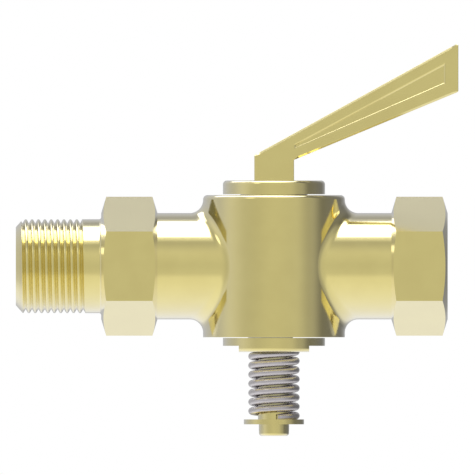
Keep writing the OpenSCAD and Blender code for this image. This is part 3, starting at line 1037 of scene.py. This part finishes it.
def make_floor():
    """A pale floor under the part that fades into the white, which the metal mirrors in its place."""
    floor = stage_piece("floor", bmesh.ops.create_circle, cap_ends=True, segments=96, radius=FLOOR_R)
    floor.location.z = cad_box[0][2] - FLOOR_GAP * MM
    material, nodes = new_material("floor")
    where = nodes.add("ShaderNodeTexCoord").outputs["Object"]
    length = nodes.add("ShaderNodeVectorMath", operation="LENGTH")
    nodes.put(length.inputs[0], where)
    solid = nodes.step(length.outputs["Value"], *FLOOR_FADE)
    pale = nodes.add("ShaderNodeBsdfDiffuse")
    pale.inputs["Color"].default_value = (FLOOR_COLOUR, FLOOR_COLOUR, FLOOR_COLOUR, 1)
    path = nodes.add("ShaderNodeLightPath")
    mirrored = nodes.math("MAXIMUM", path.outputs["Is Glossy Ray"], path.outputs["Is Transmission Ray"])
    solid = nodes.math("MULTIPLY", solid, nodes.math("SUBTRACT", 1.0, mirrored))
    clear = nodes.add("ShaderNodeBsdfTransparent")
    nodes.finish("ShaderNodeOutputMaterial", nodes.mix_shaders(solid, clear, pale))
    floor.data.materials.append(material)


# Materials


BRASS = (0.88, 0.77, 0.31)
# Darker brass, deeper in the male thread's grooves
BRASS_DARKENED = (0.79, 0.68, 0.25)
# Colour of the painted shade on the plug, in the gap over the key washer and on the stem inside the spring
PLUG_SHADE_COLOUR = (0.42, 0.41, 0.31)
# Colour of the painted contact shadow on the top of the spring
SPRING_SHADOW_COLOUR = (0.12, 0.11, 0.08)
STEEL = (0.65, 0.62, 0.645)
STEEL_EDGE = (0.78, 0.76, 0.78)
# Roughness of each piece's metal
BODY_ROUGH = 0.12
PLUG_ROUGH = 0.13
LEVER_ROUGH = 0.15
WASHER_ROUGH = 0.14
SCREW_ROUGH = 0.14
SPRING_ROUGH = 0.28
# Share by which the tone and the finish of a metal vary
TONE_SHARE = 0.03
FINISH_SHARE = 0.25
# Height in metres of the marks that the tools left
MARK_HEIGHT = 1.2e-6
# Noise for each millimetre: the marks of each way of working, the uneven tone and the specks
TURNED_SCALE = 3.1
MILLED_SCALE = 2.3
BELT_SCALE = 3.7
DRAWN_SCALE = 4.3
MOTTLE_SCALE = 0.16
SPECK_SCALE = 1.9
# Spans of that noise in which the tone and the specks go from least to most
MOTTLE_SPAN = (0.3, 0.7)
SPECK_SPAN = (0.35, 0.75)
# Share of the marks in the uneven tone and in the uneven finish
MARKS_IN_TONE = 0.5
MARKS_IN_FINISH = 0.6
# Weights that carry marks on over an edge: to a turned end, across the lever, round the wire
END_WEIGHT = 0.83
ACROSS_WEIGHT = 0.71
ROUND_WEIGHT = 1.3
# Where the body's marks change, past the barrel, the fillet and the hexagon's inner circle
BARREL_MARGIN = (0.5, 0.1)
FILLET_MARGIN = 0.8
HEXAGON_MARGIN = 0.3
# Darkening of the male thread's grooves: depths below its crests, inner bound, and bounds along the pipe
GROOVE_DARK_DEPTH = (0.15, 0.9)
GROOVE_DARK_INSIDE = (1.5, 1.0)
GROOVE_DARK_START = (0.6, 1.6)
GROOVE_DARK_STOP = 1.0
# Painted shade: dark in the gap under the barrel, paler on the stem inside the spring; and a painted shadow
# on the top of the spring
GAP_REACH = (0.4, 0.1)
GAP_SOFT = 0.03
STEM_SHADE_REACH = (2.6, 0.3)
STEM_SHADE_SOFT = 0.4
STEM_SHADE_SHARE = 0.7
RING_DEPTH = (0.75, 0.4)
RING_SLANT = 0.012
RING_SIDE = (16.0, -4.0)
# How fast the gloss pales towards the edges
PALE_POWER = 1.3


def place_in_mm(nodes):
    """The place on a piece in millimetres, and its three parts."""
    spot = nodes.add("ShaderNodeVectorMath", operation="SCALE")
    nodes.put(spot.inputs[0], nodes.add("ShaderNodeTexCoord").outputs["Object"])
    spot.inputs["Scale"].default_value = 1 / MM
    split = nodes.add("ShaderNodeSeparateXYZ")
    nodes.put(split.inputs[0], spot.outputs[0])
    return spot.outputs[0], split.outputs


def rings_about(nodes, along, first, second):
    """Fine uneven rings left by turning, on the sides and on the end faces alike."""
    radius = nodes.math("MULTIPLY", nodes.hypot(first, second), END_WEIGHT)
    return nodes.noise(nodes.math("ADD", along, radius), TURNED_SCALE, detail=4.0)


def turned_marks(nodes, parts):
    """Marks of a piece turned about the plug axis."""
    x, y, z = parts
    return rings_about(nodes, z, x, y)


def body_marks(nodes, parts):
    """Marks of the body: turned barrel and ends, milled flats, and fillets that are only polished."""
    x, y, z = parts
    outward = nodes.hypot(x, y)
    on_barrel = nodes.step(outward, BARREL_R + BARREL_MARGIN[0], BARREL_R + BARREL_MARGIN[1])
    fillet_end = BARREL_R + NECK_FILLET_R
    past_fillet = nodes.step(outward, fillet_end, fillet_end + FILLET_MARGIN)
    on_hexagon = nodes.step(nodes.hypot(y, z), HEX_FACE_R, HEX_FACE_R + HEXAGON_MARGIN)
    on_end = nodes.math("MULTIPLY", past_fillet, nodes.math("SUBTRACT", 1.0, on_hexagon))
    milled = nodes.math("MULTIPLY", past_fillet, on_hexagon)
    marks = 0.5
    for share, lines in ((on_barrel, rings_about(nodes, z, x, y)), (on_end, rings_about(nodes, x, y, z)),
                         (milled, nodes.noise(x, MILLED_SCALE, detail=3.0))):
        marks = nodes.math("ADD", marks, nodes.math("MULTIPLY", share, nodes.math("SUBTRACT", lines, 0.5)))
    return marks


def brushed_marks(nodes, parts):
    """Marks of a belt that ran along the lever."""
    x, y, z = parts
    across = nodes.math("SUBTRACT", nodes.math("MULTIPLY", z, math.cos(LEVER_LEAN)),
                        nodes.math("MULTIPLY", x, math.sin(LEVER_LEAN)))
    across = nodes.math("ADD", across, nodes.math("MULTIPLY", y, ACROSS_WEIGHT))
    return nodes.noise(across, BELT_SCALE, detail=4.0)


def drawn_marks(nodes, parts):
    """Marks of the drawing die, which follow the spring's wire."""
    x, y, z = parts
    wound = nodes.math("DIVIDE", nodes.math("ARCTAN2", y, x), 2 * math.pi)
    level = nodes.math("SUBTRACT", z, nodes.math("MULTIPLY", wound, (WIRE_HIGH - WIRE_LOW) / SPRING_TURNS))
    radius = nodes.math("MULTIPLY", nodes.hypot(x, y), ROUND_WEIGHT)
    return nodes.noise(nodes.math("ADD", level, radius), DRAWN_SCALE, detail=3.0)


def thread_groove_darkening(nodes, parts):
    """How deep a place lies in the male thread's grooves, where the brass colour is made darker."""
    x, y, z = parts
    radius = nodes.hypot(y, z)
    depth = nodes.step(radius, THREAD_R - GROOVE_DARK_DEPTH[0], THREAD_R - GROOVE_DARK_DEPTH[1])
    outside = nodes.step(radius, LEAD_IN_R - GROOVE_DARK_INSIDE[0], LEAD_IN_R - GROOVE_DARK_INSIDE[1])
    beside = nodes.math("MULTIPLY", nodes.step(x, MALE_END + GROOVE_DARK_START[0], MALE_END + GROOVE_DARK_START[1]),
                        nodes.step(x, MALE_HEX_FACE, MALE_HEX_FACE - GROOVE_DARK_STOP))
    return nodes.math("MULTIPLY", nodes.math("MULTIPLY", depth, outside), beside)


def plug_painted_shade(nodes, parts):
    """Painted shade on the plug: dark in the gap over the key washer, paler on the stem inside the spring.
    """
    x, y, z = parts
    gap = nodes.band(z, -BARREL_TOP - GAP_REACH[0], -BARREL_TOP + GAP_REACH[1], GAP_SOFT)
    stem_shade = nodes.band(z, SPRING_TOP - SPRING_LEN + STEM_SHADE_REACH[0], SPRING_TOP + STEM_SHADE_REACH[1], STEM_SHADE_SOFT)
    return nodes.math("MAXIMUM", gap, nodes.math("MULTIPLY", stem_shade, STEM_SHADE_SHARE))


def spring_top_shadow(nodes, parts):
    """Painted shadow where the spring's ground end bears on the bar, more of it on the left."""
    x, y, z = parts
    depth = nodes.math("SUBTRACT", SPRING_TOP, z)
    depth = nodes.math("MULTIPLY_ADD", x, RING_SLANT, depth)
    return nodes.math("MULTIPLY", nodes.step(depth, *RING_DEPTH), nodes.step(x, *RING_SIDE))


def metal(name, colour, rough, make_marks, make_darkening=None, darkened_colour=BRASS_DARKENED, edge=(1, 1, 1)):
    """A clean machined metal with tool marks and an uneven tone. Its gloss pales towards the edges."""
    material, nodes = new_material(name)
    spot, parts = place_in_mm(nodes)
    mottle = nodes.step(nodes.noise(spot, MOTTLE_SCALE, detail=4.0), *MOTTLE_SPAN)
    specks = nodes.step(nodes.noise(spot, SPECK_SCALE, detail=3.0), *SPECK_SPAN)
    marks = make_marks(nodes, parts)

    uneven = nodes.blend(MARKS_IN_TONE, mottle, marks)
    # Where the tone is dull, green is lowered more than red, and blue more than green
    dull = [c * (1 - TONE_SHARE * (1 + k / 2)) for k, c in enumerate(colour)]
    bright = [min(1, c * (1 + TONE_SHARE)) for c in colour]
    base = nodes.mix(uneven, (*dull, 1), (*bright, 1))
    # The piece's darkening mask goes into its base colour: painted shade on the plug, a painted shadow on
    # the spring's top, darker grooves in the body's thread
    if make_darkening:
        base = nodes.mix(make_darkening(nodes, parts), base, (*darkened_colour, 1))
    facing = nodes.add("ShaderNodeLayerWeight")
    facing.inputs["Blend"].default_value = 0.5
    pale = nodes.math("POWER", facing.outputs["Facing"], PALE_POWER)
    gloss = nodes.mix(pale, base, (*edge, 1))

    finish = nodes.blend(MARKS_IN_FINISH, specks, marks)
    finish = nodes.math("MULTIPLY", nodes.math("SUBTRACT", finish, 0.5), 2 * FINISH_SHARE * rough)
    bump = nodes.add("ShaderNodeBump")
    bump.inputs["Strength"].default_value = 1.0
    bump.inputs["Distance"].default_value = MARK_HEIGHT
    nodes.put(bump.inputs["Height"], marks)

    shader = nodes.add("ShaderNodeBsdfPrincipled")
    shader.inputs["Metallic"].default_value = 1.0
    nodes.put(shader.inputs["Base Color"], gloss)
    nodes.put(shader.inputs["Roughness"], nodes.math("ADD", rough, finish))
    nodes.put(shader.inputs["Normal"], bump.outputs[0])
    nodes.finish("ShaderNodeOutputMaterial", shader)
    return material


def coat(name, material):
    """Gives a CAD node that is seen as it is its material."""
    for slot in frame["nodes"][name].material_slots:
        slot.material = material


body_brass = metal("body_brass", BRASS, BODY_ROUGH, body_marks, thread_groove_darkening)
plug_brass = metal("plug_brass", BRASS, PLUG_ROUGH, turned_marks, plug_painted_shade, PLUG_SHADE_COLOUR)
lever_brass = metal("lever_brass", BRASS, LEVER_ROUGH, brushed_marks)
washer_brass = metal("washer_brass", BRASS, WASHER_ROUGH, turned_marks)
screw_brass = metal("screw_brass", BRASS, SCREW_ROUGH, turned_marks)
spring_steel = metal("spring_steel", STEEL, SPRING_ROUGH, drawn_marks, spring_top_shadow, SPRING_SHADOW_COLOUR,
                     STEEL_EDGE)

make_body(body_brass)
make_lever(lever_brass)
make_spring(spring_steel)
coat("plug", plug_brass)
coat("key_washer", washer_brass)
coat("retainer_washer", washer_brass)
coat("retaining_screw", screw_brass)

scene = bpy.context.scene
scene.view_settings.view_transform = "Standard"
make_camera()
make_world()
make_tent()
make_floor()
